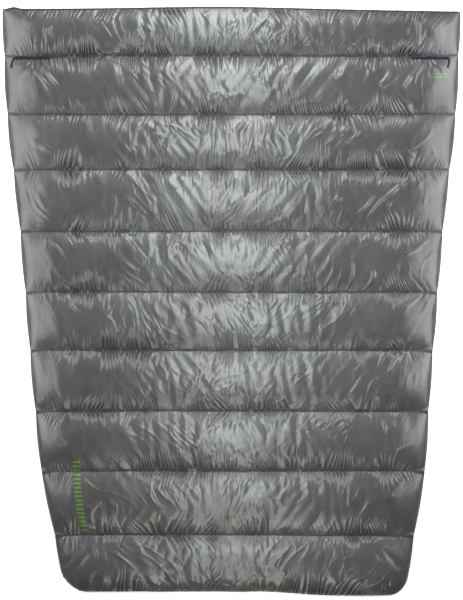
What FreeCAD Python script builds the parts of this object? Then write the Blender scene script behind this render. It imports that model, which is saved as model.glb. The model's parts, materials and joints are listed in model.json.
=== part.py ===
"""Two-person down camp quilt, lying flat: sewn chambers that hinge at their seams, and a foot pocket.

Frame: +X across the quilt, +Y towards the head, +Z up. The origin is under the middle of the
quilt, on the plane that it lies on. All sizes are in millimetres.
"""
import FreeCAD, Part
import Sketcher
import math
import os
from FreeCAD import Placement, Rotation, Vector

CHAMBERS = 10            # chamber 1 is the neck, 9 and 10 lie over the foot pocket
POCKET_FROM = 9          # first chamber over the foot pocket
# Distance from seam to seam, from the neck chamber to the foot chamber.
PITCHES = [154, 194, 184, 203, 202, 192, 202, 198, 212, 189]

DIMS = {
    "shoulder_width": 1500,
    "hip_width": 1256,        # at the seam above the foot pocket
    "foot_width": 1106,
    "corner_radius": 46,      # of the two foot corners, seen from above
    "head_overrun": 5,        # from the first chamber to the head end of the outer envelope
    "seam_height": 18,        # the seams' height above the ground
    "crown_rise": 21,         # from a seam to the top of a chamber
    "belly_drop": 25,         # the same below, before the ground flattens it
    "seam_gap": 2,            # from a seam's thread to the fabric on each side
    "edge_height": 44,        # height of the rounded outer envelope
    "edge_round": 24,
    "edge_round_low": 15,
    "fabric": 0.8,
    "fill_inset": 1.1,        # fabric and a small clearance
    "tube_width": 75,         # the insulated tube along each side
    "tube_gap": 0.4,
    "thread_radius": 0.6,
    "thread_inset": 8,        # from a side edge to the end of a seam's thread
    "binding_radius": 2.5,
    "binding_inset": 14,
    "binding_gap": 0.3,
    "pocket_floor": 7,        # thickness of the foot pocket's lower panel
    "pocket_roof": 14.5,      # underside of the chambers over the pocket
    "pocket_set_back": 26,    # from the seam above the pocket to the pocket's edge
    "pocket_side": 22,        # from the side edge to the pocket panel
    "wall_inset": 5,          # from the side edge to the pocket's wall
    "wall_gap": 0.5,
    "strap_inner": 592,       # from the middle of the quilt to a strap's stitched end
    "strap_length": 128,
    "strap_width": 8,
    "strap_drop": 46,         # how far the strap's end hangs down over chamber 2
    "strap_set": 5,           # from the neck seam to the strap
    "strap_thickness": 1.2,
    "strap_lift": 0.5,
    "snap_radius": 5,
    "snap_base": 1,
    "snap_body": 3,
    "snap_clearance": 0.05,   # between a snap and the strap that it stands on
    "stud_radius": 2,
    "stud_length": 2.4,
    "socket_radius": 2,
    "socket_depth": 2.2,
}

X_RANGE = 800                 # half length of the tools that cut across the whole quilt
FAR = 2000                    # half length of the tools that cut along it
TALL = 100                    # height of the tools that cut through its thickness
LEVEL = 0.001                 # edges closer in height than this are level with each other

doc = FreeCAD.newDocument("camp_quilt")
sheet = doc.addObject("Spreadsheet::Sheet", "dims")
parts = []                    # the finished sub-parts, in the order in which they are made


def fill_sheet():
    """Writes each driving size to its own cell, with its alias."""
    cells = dict(DIMS)
    binding_reach = 2 * DIMS["binding_radius"] + DIMS["binding_gap"]
    y = (sum(PITCHES) - binding_reach) / 2
    cells["seam_y_0"] = y
    for number, pitch in enumerate(PITCHES, start=1):
        y -= pitch
        cells[f"seam_y_{number}"] = y
    for row, (alias, value) in enumerate(cells.items(), start=1):
        sheet.set(f"A{row}", alias)
        sheet.set(f"B{row}", str(value))
        sheet.setAlias(f"B{row}", alias)
    doc.recompute()


def dim(alias):
    """A size's value, for the few things that an expression can't reach."""
    return float(sheet.get(alias))


def bind(obj, **expressions):
    """Binds properties to expressions; a double underscore stands for a dot."""
    for name, expression in expressions.items():
        obj.setExpression(name.replace("__", "."), expression)
    return obj


def finished(obj, label):
    obj.Label = label
    parts.append(obj)
    return obj


def across_cylinder(name, radius, y, z, length=f"{2 * X_RANGE}"):
    """A cylinder that lies along X, centred on the quilt."""
    cylinder = doc.addObject("Part::Cylinder", name)
    cylinder.Placement = Placement(Vector(0, 0, 0), Rotation(Vector(0, 1, 0), 90))
    return bind(cylinder, Radius=radius, Height=length, Placement__Base__x=f"-({length}) / 2",
                Placement__Base__y=y, Placement__Base__z=z)


def box(name, x, y, z, size_x, size_y, size_z):
    """A box whose corner and sizes are expressions."""
    made = doc.addObject("Part::Box", name)
    return bind(made, Placement__Base__x=x, Placement__Base__y=y, Placement__Base__z=z,
                Length=size_x, Width=size_y, Height=size_z)


def common(name, *shapes):
    made = doc.addObject("Part::MultiCommon", name)
    made.Shapes = list(shapes)
    return made


def cut(name, base, tool):
    made = doc.addObject("Part::Cut", name)
    made.Base, made.Tool = base, tool
    return made


def origin_plane(body, role):
    return next(f for f in body.Origin.OriginFeatures if f.Role == role)


def half_width(y):
    """Expression for the quilt's half width at a height y on the outline."""
    upper = ("(dims.shoulder_width + (dims.hip_width - dims.shoulder_width)"
             f" * (dims.seam_y_0 - ({y})) / (dims.seam_y_0 - dims.seam_y_8)) / 2")
    lower = ("(dims.hip_width + (dims.foot_width - dims.hip_width)"
             f" * (dims.seam_y_8 - ({y})) / (dims.seam_y_8 - dims.seam_y_10)) / 2")
    return f"(({y}) > dims.seam_y_8 ? {upper} : {lower})"


def plan_body(name, inset, low, high, foot_past="0"):
    """The quilt's outline seen from above, drawn in by inset and padded from low to high."""
    body = doc.addObject("PartDesign::Body", name)
    sketch = body.newObject("Sketcher::SketchObject", name + "_outline")
    sketch.AttachmentSupport = [(origin_plane(body, "XY_Plane"), "")]
    sketch.MapMode = "FlatFace"
    corners = [("-", "shoulder_width", 0), ("-", "hip_width", 8), ("-", "foot_width", 10),
               ("", "foot_width", 10), ("", "hip_width", 8), ("", "shoulder_width", 0)]
    start = []
    for sign, width, seam in corners:
        x = dim(width) / 2 * (-1 if sign else 1)
        start.append(Vector(x, dim(f"seam_y_{seam}"), 0))
    for index, point in enumerate(start):
        sketch.addGeometry(Part.LineSegment(point, start[(index + 1) % len(start)]), False)
    for index in range(len(start)):
        following = (index + 1) % len(start)
        sketch.addConstraint(Sketcher.Constraint("Coincident", index, 2, following, 1))
    for index, (sign, width, seam) in enumerate(corners):
        x_rule = sketch.addConstraint(
            Sketcher.Constraint("DistanceX", -1, 1, index, 1, start[index].x))
        y_rule = sketch.addConstraint(
            Sketcher.Constraint("DistanceY", -1, 1, index, 1, start[index].y))
        past = {0: "+ dims.head_overrun", 10: f"+ ({inset}) - ({foot_past})"}.get(seam, "")
        sketch.setExpression(f"Constraints[{x_rule}]", f"{sign}(dims.{width} / 2 - ({inset}))")
        sketch.setExpression(f"Constraints[{y_rule}]", f"dims.seam_y_{seam} {past}")
    bind(sketch, AttachmentOffset__Base__z=low)
    pad = body.newObject("PartDesign::Pad", name + "_pad")
    pad.Profile = sketch
    bind(pad, Length=f"({high}) - ({low})")
    doc.recompute()
    return body, pad


def edge_names(shape, wanted):
    return [f"Edge{i}" for i, edge in enumerate(shape.Edges, start=1) if wanted(edge)]


def envelope(name, inset):
    """The quilt's outer shape with rounded sides, before its seams are drawn in."""
    body, pad = plan_body(name, inset, inset, f"dims.edge_height - ({inset})")
    y_head, y_foot = dim("seam_y_0"), dim("seam_y_10")

    def foot_corner(edge):
        box = edge.BoundBox
        return box.ZLength > LEVEL and box.Center.y < y_foot + dim("corner_radius")

    corners = body.newObject("PartDesign::Fillet", name + "_corners")
    corners.Base = (pad, edge_names(pad.Shape, foot_corner))
    bind(corners, Radius="dims.corner_radius")
    doc.recompute()
    last = corners
    for label, radius, top in (("top", "edge_round", True), ("low", "edge_round_low", False)):

        def rim(edge):
            box = edge.BoundBox
            outer = last.Shape.BoundBox.ZMax if top else last.Shape.BoundBox.ZMin
            level = box.ZLength < LEVEL and abs(box.ZMin - outer) < LEVEL
            return level and box.YMin < y_head

        rounded = body.newObject("PartDesign::Fillet", f"{name}_{label}")
        rounded.Base = (last, edge_names(last.Shape, rim))
        bind(rounded, Radius=f"dims.{radius} - ({inset})")
        doc.recompute()
        last = rounded
    return body


def chamber_solid(number, level, inset, outer):
    """One chamber's full solid: a lens between two seams, inside the rounded envelope."""
    above, below = f"dims.seam_y_{number - 1}", f"dims.seam_y_{number}"
    middle = f"({above} + {below}) / 2"
    half = f"(({above} - {below}) / 2 - dims.seam_gap)"
    name = f"chamber_{number}_{level}"
    crown = f"(({half} ^ 2 + dims.crown_rise ^ 2) / (2 * dims.crown_rise))"
    tools = [outer, across_cylinder(f"{name}_crown", f"{crown} - ({inset})", middle,
                                    f"dims.seam_height + dims.crown_rise - {crown}")]
    if number < POCKET_FROM:
        belly = f"(({half} ^ 2 + dims.belly_drop ^ 2) / (2 * dims.belly_drop))"
        tools.append(across_cylinder(f"{name}_belly", f"{belly} - ({inset})", middle,
                                     f"dims.seam_height - dims.belly_drop + {belly}"))
    else:
        tools.append(box(f"{name}_over", f"{-X_RANGE}", f"{below} + dims.seam_gap + ({inset})",
                         f"dims.pocket_roof + ({inset})", f"{2 * X_RANGE}",
                         f"2 * {half} - 2 * ({inset})", "dims.edge_height"))
    return common(name, *tools)


def make_chambers():
    outer = envelope("outer_envelope", "0")
    inner = envelope("inner_envelope", "dims.fabric")
    filled = envelope("fill_envelope", "dims.fill_inset")
    through = (f"{-TALL}", f"{TALL}", f"{TALL}")
    core, _ = plan_body("core", "dims.tube_width", *through)
    core_wide, _ = plan_body("core_wide", "dims.tube_width - dims.tube_gap", *through)
    over = box("above_seams", f"{-X_RANGE}", f"{-FAR}", "dims.seam_height",
               f"{2 * X_RANGE}", f"{2 * FAR}", f"{TALL}")
    under = box("below_seams", f"{-X_RANGE}", f"{-FAR}", f"dims.seam_height - {TALL}",
                f"{2 * X_RANGE}", f"{2 * FAR}", f"{TALL}")
    for number in range(1, CHAMBERS + 1):
        whole = chamber_solid(number, "outer", "0", outer)
        hollow = chamber_solid(number, "inner", "dims.fabric", inner)
        fill = chamber_solid(number, "fill", "dims.fill_inset", filled)
        casing = cut(f"casing_{number}", whole, hollow)
        finished(common(f"shell_{number}", casing, over), f"shell_panel_{number}")
        finished(common(f"lining_{number}", casing, under), f"lining_panel_{number}")
        finished(common(f"down_{number}", fill, core), f"down_fill_{number}")
        finished(cut(f"tubes_{number}", fill, core_wide), f"side_tubes_{number}")


def make_threads():
    """The stitching of each seam, one thread along it: the line that the quilt folds about."""
    for number in range(1, CHAMBERS):
        y = f"dims.seam_y_{number}"
        length = f"2 * ({half_width(y)} - dims.thread_inset)"
        thread = across_cylinder(f"thread_{number}", "dims.thread_radius", y,
                                 "dims.seam_height", length=length)
        finished(thread, f"seam_thread_{number}")


def make_head_binding():
    """The rolled hem along the head edge."""
    binding = across_cylinder("binding", "dims.binding_radius",
                              "dims.seam_y_0 - dims.seam_gap + dims.binding_radius + dims.binding_gap",
                              "dims.seam_height",
                              length="dims.shoulder_width - 2 * dims.binding_inset")
    finished(binding, "head_binding")


def make_foot_pocket():
    """The pocket under chambers 9 and 10: a padded lower panel and the walls round its edge."""
    top = "dims.seam_y_8 - dims.pocket_set_back"
    for layer, low, high in (("shell", "0", "dims.fabric"),
                             ("down", "dims.fill_inset", "dims.pocket_floor - dims.fill_inset"),
                             ("lining", "dims.pocket_floor - dims.fabric", "dims.pocket_floor")):
        plan, _ = plan_body(f"pocket_{layer}_plan", "dims.pocket_side", low, high)
        reach = box(f"pocket_{layer}_reach", f"{-X_RANGE}", f"{-FAR}", f"{-TALL}",
                    f"{2 * X_RANGE}", f"{FAR} + ({top})", f"{2 * TALL}")
        finished(common(f"pocket_{layer}_solid", plan, reach), f"pocket_{layer}")
    for side, name in ((-1, "left"), (1, "right")):
        finished(pocket_side_wall(side, name, top), f"pocket_wall_{name}")
    finished(box("wall_foot", "-(dims.foot_width / 2 - dims.corner_radius)",
                 "dims.seam_y_10 + dims.wall_inset", "dims.pocket_floor + dims.wall_gap",
                 "dims.foot_width - 2 * dims.corner_radius", "dims.fabric",
                 "dims.pocket_roof - dims.pocket_floor - 2 * dims.wall_gap"),
             "pocket_wall_foot")


def pocket_side_wall(side, name, top):
    """A thin upright wall that follows the side edge beside the pocket."""
    low = "dims.seam_y_10 + dims.corner_radius"
    wall = doc.addObject("Part::Box", f"wall_side_{name}")
    run = f"(({top}) - ({low}))"
    lean = f"({half_width(top)} - {half_width(low)})"
    bind(wall, Length="dims.fabric", Width=f"sqrt({run} ^ 2 + {lean} ^ 2)",
         Height="dims.pocket_roof - dims.pocket_floor - 2 * dims.wall_gap",
         Placement__Base__x=f"{side} * ({half_width(low)} - dims.wall_inset)",
         Placement__Base__y=low,
         Placement__Base__z="dims.pocket_floor + dims.wall_gap",
         Placement__Rotation__Angle=f"{-side} * atan({lean} / {run})")
    return wall


def make_neck_straps():
    """A flat strap in the groove under the neck chamber on each side, with a press stud."""
    middle = "(dims.seam_y_1 + dims.seam_y_2) / 2"
    half = "((dims.seam_y_1 - dims.seam_y_2) / 2 - dims.seam_gap)"
    crown = f"(({half} ^ 2 + dims.crown_rise ^ 2) / (2 * dims.crown_rise))"
    centre_z = f"dims.seam_height + dims.crown_rise - {crown}"
    lift = "dims.strap_lift"
    thick = "dims.strap_thickness"
    skin_out = across_cylinder("strap_skin_out", f"{crown} + {lift} + {thick}", middle, centre_z)
    skin_in = across_cylinder("strap_skin_in", f"{crown} + {lift}", middle, centre_z)
    skin = cut("strap_skin", skin_out, skin_in)
    radius = dim_crown() + dim("strap_lift") + dim("strap_thickness")
    for side, name in ((-1, "left"), (1, "right")):
        outer_end = "dims.strap_inner + dims.strap_length"
        run_x = "dims.strap_inner" if side > 0 else f"-({outer_end})"
        tail_x = f"{outer_end} - dims.strap_width" if side > 0 else f"-({outer_end})"
        run = box(f"strap_run_{name}", run_x,
                  "dims.seam_y_1 - dims.strap_set - dims.strap_width", "dims.seam_height",
                  "dims.strap_length", "dims.strap_width", f"{TALL}")
        tail = box(f"strap_tail_{name}", tail_x,
                   "dims.seam_y_1 - dims.strap_set - dims.strap_drop", "dims.seam_height",
                   "dims.strap_width", "dims.strap_drop", f"{TALL}")
        plan = doc.addObject("Part::MultiFuse", f"strap_plan_{name}")
        plan.Shapes = [run, tail]
        finished(common(f"strap_{name}", skin, plan), f"neck_strap_{name}")
        finished(press_stud(side, name, radius), f"strap_{'socket' if side < 0 else 'stud'}")


def dim_crown():
    """Radius of chamber 2's crown."""
    half = (dim("seam_y_1") - dim("seam_y_2")) / 2 - dim("seam_gap")
    rise = dim("crown_rise")
    return (half ** 2 + rise ** 2) / (2 * rise)


def press_stud(side, name, radius):
    """A press stud at the strap's end, standing square to the strap: the socket on the left."""
    y = dim("seam_y_1") - dim("strap_set") - dim("strap_drop") + dim("snap_radius")
    middle = (dim("seam_y_1") + dim("seam_y_2")) / 2
    tilt = math.asin((y - middle) / radius)
    x = side * (dim("strap_inner") + dim("strap_length") - dim("strap_width") / 2)
    centre_z = dim("seam_height") + dim("crown_rise") - dim_crown()
    clear = radius + dim("snap_clearance")
    place = Placement(Vector(x, middle + clear * math.sin(tilt), centre_z + clear * math.cos(tilt)),
                      Rotation(Vector(-1, 0, 0), math.degrees(tilt)))
    base = doc.addObject("Part::Cylinder", f"snap_base_{name}")
    bind(base, Radius="dims.snap_radius",
         Height="dims.snap_body" if side < 0 else "dims.snap_base")
    core = doc.addObject("Part::Cylinder", f"snap_core_{name}")
    if side < 0:
        bind(core, Radius="dims.socket_radius", Height="dims.socket_depth + 1",
             Placement__Base__z="dims.snap_body - dims.socket_depth")
        made = cut(f"snap_{name}", base, core)
    else:
        bind(core, Radius="dims.stud_radius", Height="dims.snap_base + dims.stud_length")
        made = doc.addObject("Part::Fuse", f"snap_{name}")
        made.Base, made.Tool = base, core
    made.Placement = place
    return made


def check_document():
    doc.recompute()
    for obj in doc.Objects:
        if "Invalid" in obj.State or "Error" in obj.State:
            raise RuntimeError(f"{obj.Name} failed: {obj.State}")
    for obj in parts:
        shape = obj.Shape
        if shape.isNull() or not shape.isValid() or not shape.Solids:
            raise RuntimeError(f"{obj.Label} has no valid solid")


def write_parts():
    os.makedirs("parts", exist_ok=True)
    for obj in parts:
        obj.Shape.exportStep(f"parts/{obj.Label}.step")
        volume = obj.Shape.Volume / 1000
        print(f"{obj.Label}: {len(obj.Shape.Solids)} solid, {volume:.1f} cm3")


fill_sheet()
make_chambers()
make_threads()
make_head_binding()
make_foot_pocket()
make_neck_straps()
check_document()
write_parts()
total = sum(obj.Shape.Volume for obj in parts) / 1e9
print(f"{len(parts)} sub-parts, {total:.5f} m3 in all")
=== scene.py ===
import json
import math
import bpy
import numpy as np
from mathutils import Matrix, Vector
from mathutils.bvhtree import BVHTree

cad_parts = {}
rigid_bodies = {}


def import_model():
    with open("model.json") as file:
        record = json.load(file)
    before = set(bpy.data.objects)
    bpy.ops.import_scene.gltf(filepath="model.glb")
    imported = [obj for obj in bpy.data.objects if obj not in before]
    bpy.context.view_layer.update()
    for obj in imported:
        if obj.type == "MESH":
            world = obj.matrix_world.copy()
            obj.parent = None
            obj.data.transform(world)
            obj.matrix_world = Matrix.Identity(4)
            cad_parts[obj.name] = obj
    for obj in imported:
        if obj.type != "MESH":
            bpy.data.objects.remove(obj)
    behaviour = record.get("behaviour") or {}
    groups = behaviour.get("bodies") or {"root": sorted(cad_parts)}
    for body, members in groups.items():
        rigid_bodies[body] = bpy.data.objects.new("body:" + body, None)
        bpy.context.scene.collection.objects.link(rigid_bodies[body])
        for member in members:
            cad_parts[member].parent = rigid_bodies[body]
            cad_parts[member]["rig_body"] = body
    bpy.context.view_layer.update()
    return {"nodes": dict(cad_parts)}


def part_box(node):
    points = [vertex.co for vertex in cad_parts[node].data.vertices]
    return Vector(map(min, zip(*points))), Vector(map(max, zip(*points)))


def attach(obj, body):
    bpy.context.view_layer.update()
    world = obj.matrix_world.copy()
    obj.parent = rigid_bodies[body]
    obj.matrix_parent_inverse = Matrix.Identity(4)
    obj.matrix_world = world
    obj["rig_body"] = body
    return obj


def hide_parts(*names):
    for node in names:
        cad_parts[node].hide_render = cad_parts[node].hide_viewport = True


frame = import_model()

scene = bpy.context.scene


# The quilt's lines

quilt = {
    "chambers": 10,
    "pocketFrom": 9,  # chambers 9 and 10 lie over the foot pocket
    "leftCorner": 0.075,  # the foot corners, seen from above
    "rightCorner": 0.052,
    "footDrift": 0.011,  # how far the foot end lies to the right of the middle line
    "sideBow": 0.013,  # how far the sides bow out near the shoulders
    "bowReach": 0.26,
    "sideSpare": 0.005,  # fabric that stands out past the padding's edge
    "sideEdge": 0.011,  # height of the side edges
}


def chamberBody(number):
    if number == 1:
        return "neck"
    return "foot" if number >= quilt["pocketFrom"] else f"chamber_{number}"


def nodeMiddle(node):
    low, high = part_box(node)
    return (low + high) / 2


def readSeams():
    # the y of every seam, with the head edge first and the foot edge last
    last = quilt["chambers"]
    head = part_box("shell_panel_1")[1].y
    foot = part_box(f"shell_panel_{last}")[0].y
    return [head] + [nodeMiddle(f"seam_thread_{k}").y for k in range(1, last)] + [foot]


def readWidths():
    # half the quilt's width at every seam
    halves = [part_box(f"shell_panel_{n}")[1].x for n in range(1, quilt["chambers"] + 1)]
    lean = (halves[-2] - halves[-1]) / (seamY[-3] - seamY[-2])
    return halves + [halves[-1] - lean * (seamY[-2] - seamY[-1])]


seamY = readSeams()
seamZ = nodeMiddle("seam_thread_1").z
halfWidths = readWidths()
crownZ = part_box("shell_panel_2")[1].z
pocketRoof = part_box("lining_panel_10")[0].z


def halfWidth(y, corner=quilt["leftCorner"]):
    half = np.interp(y, seamY[::-1], halfWidths[::-1])
    bow = quilt["sideBow"] * np.exp(-((y - seamY[2]) / quilt["bowReach"]) ** 2)
    turn = np.clip(1 - (y - seamY[-1]) / corner, 0, 1)
    return half + bow + quilt["sideSpare"] - corner * (1 - np.sqrt(1 - turn ** 2))


def smoothStep(part):
    part = np.clip(part, 0, 1)
    return part * part * (3 - 2 * part)


def drift(y):
    return quilt["footDrift"] * smoothStep((seamY[6] - y) / (seamY[6] - seamY[-1]))


# Noise

def smoothNoise(x, y, seed):
    # gradient noise, about -1 to 1, one field for each seed
    lattice = np.random.default_rng(seed).uniform(0, 2 * np.pi, (256, 256))
    cellX, cellY = np.floor(x).astype(int), np.floor(y).astype(int)
    partX, partY = x - cellX, y - cellY

    def corner(stepX, stepY):
        angle = lattice[(cellX + stepX) % 256, (cellY + stepY) % 256]
        return np.cos(angle) * (partX - stepX) + np.sin(angle) * (partY - stepY)

    easeX = partX ** 3 * (partX * (partX * 6 - 15) + 10)
    easeY = partY ** 3 * (partY * (partY * 6 - 15) + 10)
    near = corner(0, 0) * (1 - easeX) + corner(1, 0) * easeX
    far = corner(0, 1) * (1 - easeX) + corner(1, 1) * easeX
    return (near * (1 - easeY) + far * easeY) * 1.5


def fractalNoise(x, y, seed):
    return sum(smoothNoise(x * 2 ** k, y * 2 ** k, seed + 31 * k) / 2 ** k for k in range(3))


# Meshes

def gridFaces(index):
    # the quads of a grid of point numbers, facing up when rows run towards the foot
    return np.stack([index[:-1, :-1], index[1:, :-1], index[1:, 1:], index[:-1, 1:]],
                    -1).reshape(-1, 4)


def meshObject(name, points, quads, materials=(), slots=None):
    mesh = bpy.data.meshes.new(name)
    points = np.asarray(points, np.float32).reshape(-1, 3)
    quads = np.asarray(quads, np.int32)
    mesh.vertices.add(len(points))
    mesh.vertices.foreach_set("co", points.ravel())
    mesh.loops.add(quads.size)
    mesh.loops.foreach_set("vertex_index", quads.ravel())
    mesh.polygons.add(len(quads))
    mesh.polygons.foreach_set("loop_start", np.arange(0, quads.size, 4, dtype=np.int32))
    mesh.polygons.foreach_set("use_smooth", np.ones(len(quads), bool))
    for material in materials:
        mesh.materials.append(material)
    if slots is not None:
        mesh.polygons.foreach_set("material_index", np.asarray(slots, np.int32))
    mesh.update(calc_edges=True)
    made = bpy.data.objects.new(name, mesh)
    scene.collection.objects.link(made)
    return made


def closedShell(name, high, low, materials):
    # a padded piece: two grids of points that share their outer edges
    rows, columns = high.shape[:2]
    top = np.arange(rows * columns).reshape(rows, columns)
    bottom = top.copy()
    inner = np.arange((rows - 2) * (columns - 2)).reshape(rows - 2, columns - 2)
    bottom[1:-1, 1:-1] = rows * columns + inner
    points = np.concatenate([high.reshape(-1, 3), low[1:-1, 1:-1].reshape(-1, 3)])
    topFaces, lowFaces = gridFaces(top), gridFaces(bottom)[:, ::-1]
    slots = np.concatenate([np.zeros(len(topFaces)), np.ones(len(lowFaces))])
    return meshObject(name, points, np.concatenate([topFaces, lowFaces]), materials, slots)


def ringFaces(index, flipped=False):
    # the quads between the rings of a closed tube, and a face at each of its ends
    quads = gridFaces(np.concatenate([index, index[:, :1]], axis=1))
    quads = quads[:, ::-1] if flipped else quads
    return [list(face) for face in quads] + [list(index[0]), list(index[-1][::-1])]


def tube(path, radius, sides=8, flatten=1.0):
    # points and faces of a closed tube along a path, flattened from above
    path = np.asarray(path, float)
    along = np.gradient(path, axis=0)
    along /= np.linalg.norm(along, axis=1)[:, None]
    across = np.cross(along, (0.0, 0.0, 1.0))
    across /= np.maximum(np.linalg.norm(across, axis=1)[:, None], 1e-9)
    above = np.cross(across, along)
    turn = np.arange(sides) * 2 * np.pi / sides
    ring = (np.cos(turn)[None, :, None] * across[:, None]
            + np.sin(turn)[None, :, None] * above[:, None] * flatten)
    points = (path[:, None] + ring * np.broadcast_to(radius, (len(path),))[:, None, None])
    points = points.reshape(-1, 3)
    index = np.arange(len(path) * sides).reshape(len(path), sides)
    return points, ringFaces(index, flipped=True)


def joined(parts):
    points, faces, start = [], [], 0
    for partPoints, partFaces in parts:
        points.append(np.asarray(partPoints, float))
        faces += [[int(i) + start for i in face] for face in partFaces]
        start += len(partPoints)
    return np.concatenate(points), faces


def facedMesh(name, parts, material):
    points, faces = joined(parts)
    mesh = bpy.data.meshes.new(name)
    mesh.from_pydata(points.tolist(), [], faces)
    mesh.polygons.foreach_set("use_smooth", np.ones(len(mesh.polygons), bool))
    mesh.materials.append(material)
    made = bpy.data.objects.new(name, mesh)
    scene.collection.objects.link(made)
    return made


# Finishes

class Value:
    # a node's output, so that shader maths reads as maths
    def __init__(self, socket):
        self.socket = socket
        self.nodes = socket.id_data.nodes
        self.links = socket.id_data.links

    def combine(self, operation, *others, first=None):
        maths = self.nodes.new("ShaderNodeMath")
        maths.operation = operation
        for place, value in enumerate([self if first is None else first, *others]):
            if isinstance(value, Value):
                self.links.new(value.socket, maths.inputs[place])
            else:
                maths.inputs[place].default_value = value
        return Value(maths.outputs[0])

    def __add__(self, other):
        return self.combine("ADD", other)

    def __radd__(self, other):
        return self.combine("ADD", other)

    def __sub__(self, other):
        return self.combine("SUBTRACT", other)

    def __rsub__(self, other):
        return self.combine("SUBTRACT", self, first=other)

    def __mul__(self, other):
        return self.combine("MULTIPLY", other)

    def __rmul__(self, other):
        return self.combine("MULTIPLY", other)

    def __truediv__(self, other):
        return self.combine("DIVIDE", other)

    def __gt__(self, other):
        return self.combine("GREATER_THAN", other)

    def __lt__(self, other):
        return self.combine("LESS_THAN", other)

    def absolute(self):
        return self.combine("ABSOLUTE")

    def floor(self):
        return self.combine("FLOOR")

    def sine(self):
        return self.combine("SINE")

    def clamped(self):
        return self.combine("MINIMUM", 1.0).combine("MAXIMUM", 0.0)


class Finish:
    def __init__(self, name):
        self.material = bpy.data.materials.new(name)
        self.material.use_nodes = True
        self.tree = self.material.node_tree
        self.shader = self.tree.nodes["Principled BSDF"]
        place = self.node("ShaderNodeTexCoord", output="Object")
        self.place = place.socket
        self.x, self.y, self.z = (self.node("ShaderNodeSeparateXYZ", output=axis, Vector=place)
                                  for axis in "XYZ")

    def node(self, kind, output=0, **values):
        made = self.tree.nodes.new(kind)
        for name, value in values.items():
            socket = made.inputs[name.replace("_", " ")]
            if isinstance(value, Value):
                self.tree.links.new(value.socket, socket)
            else:
                socket.default_value = value
        return Value(made.outputs[output])

    def cloud(self, scale, detail=3.0, rough=0.55, stretch=(1, 1, 1)):
        # noise from 0 to 1 at so many lumps a metre
        where = self.node("ShaderNodeMapping", Vector=Value(self.place), Scale=stretch)
        return self.node("ShaderNodeTexNoise", output="Fac", Vector=where, Scale=scale,
                         Detail=detail, Roughness=rough)

    def blend(self, factor, first, second):
        made = self.tree.nodes.new("ShaderNodeMix")
        made.data_type = "RGBA"
        for place, value in ((0, factor), (6, first), (7, second)):
            if isinstance(value, Value):
                self.tree.links.new(value.socket, made.inputs[place])
            elif place:
                made.inputs[place].default_value = (*value, 1)
            else:
                made.inputs[place].default_value = value
        return Value(made.outputs[2])

    def grid(self, value, pitch, width):
        # 1 on thin lines a pitch apart, fading to 0
        part = value / pitch
        part = (part - part.floor() - 0.5).absolute()
        return ((part - (0.5 - width)) / width).clamped()

    def wave(self, value, pitch):
        return (value * (2 * math.pi / pitch)).sine()

    def finish(self, colour, roughness, height=None, depth=0.001, strength=1.0, **constants):
        for name, value in (("Base Color", colour), ("Roughness", roughness)):
            if isinstance(value, Value):
                self.tree.links.new(value.socket, self.shader.inputs[name])
            elif name == "Base Color":
                self.shader.inputs[name].default_value = (*value, 1)
            else:
                self.shader.inputs[name].default_value = value
        if height is not None:
            bump = self.node("ShaderNodeBump", output="Normal", Height=height,
                             Distance=depth, Strength=strength)
            self.tree.links.new(bump.socket, self.shader.inputs["Normal"])
        for name, value in constants.items():
            self.shader.inputs[name.replace("_", " ")].default_value = value
        return self.material


weaving = {
    "ripstop": 0.005,  # the reinforcing grid's pitch
    "ripstopLine": 0.07,
    "ripstopDepth": 0.00006,
    "thread": 0.0006,
    "threadDepth": 0.00003,
}
shellCloth = {
    "base": (0.072, 0.074, 0.077),
    # painted shade of the down lumps, which the mottle below mixes into the cloth
    "shade": (0.055, 0.054, 0.053),
    "pale": (0.105, 0.108, 0.111),
    "roughness": 0.31,
    "mark": (0.090, 0.215, 0.024),
    "creaseDepth": 0.0012,
    "fineDepth": 0.0005,
}
liningCloth = {
    "base": (0.020, 0.021, 0.024),
    "pale": (0.034, 0.036, 0.040),
    "line": (0.055, 0.057, 0.062),
    "roughness": 0.42,
    "creaseDepth": 0.001,
}


def wovenHeights(f):
    # the reinforcing grid, from 0 to 1, and the weave
    pitch, line = weaving["ripstop"], weaving["ripstopLine"]
    lines = (f.grid(f.x, pitch, line) + f.grid(f.y, pitch, line)).clamped()
    return lines, f.wave(f.x, weaving["thread"]) * f.wave(f.y, weaving["thread"])


def shellFinish(name, marks=()):
    f = Finish(name)
    # painted shade: random darker mottling that stands in for the shadows of the down lumps under
    # the thin cloth; and faint handling creases
    mottle = f.cloud(7.0, 4.0, 0.6)
    crease = f.cloud(46.0, 3.0, 0.5, (1, 0.35, 1))
    # painted shade: the mottle darkens the cloth towards the shade colour, as the down lumps'
    # shadows
    tone = f.blend(((mottle - 0.38) * 3.2).clamped(), shellCloth["shade"], shellCloth["base"])
    tone = f.blend(((crease - 0.5) * 2.2).clamped() * 0.6, tone, shellCloth["pale"])
    lines, weave = wovenHeights(f)
    tone = f.blend(lines * 0.22, tone, shellCloth["pale"])
    for mark in marks:
        tone = f.blend(mark(f), tone, shellCloth["mark"])
    fine = f.cloud(120.0, 2.0, 0.5, (1, 0.45, 1))
    height = (weave * weaving["threadDepth"] + lines * weaving["ripstopDepth"]
              + crease * shellCloth["creaseDepth"] + fine * shellCloth["fineDepth"])
    rough = crease * 0.10 + (shellCloth["roughness"] - 0.05) + lines * 0.05
    return f.finish(tone, rough, height, depth=1.0, strength=0.40,
                    Sheen_Weight=0.08, Sheen_Roughness=0.4, Metallic=0.42)


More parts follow.
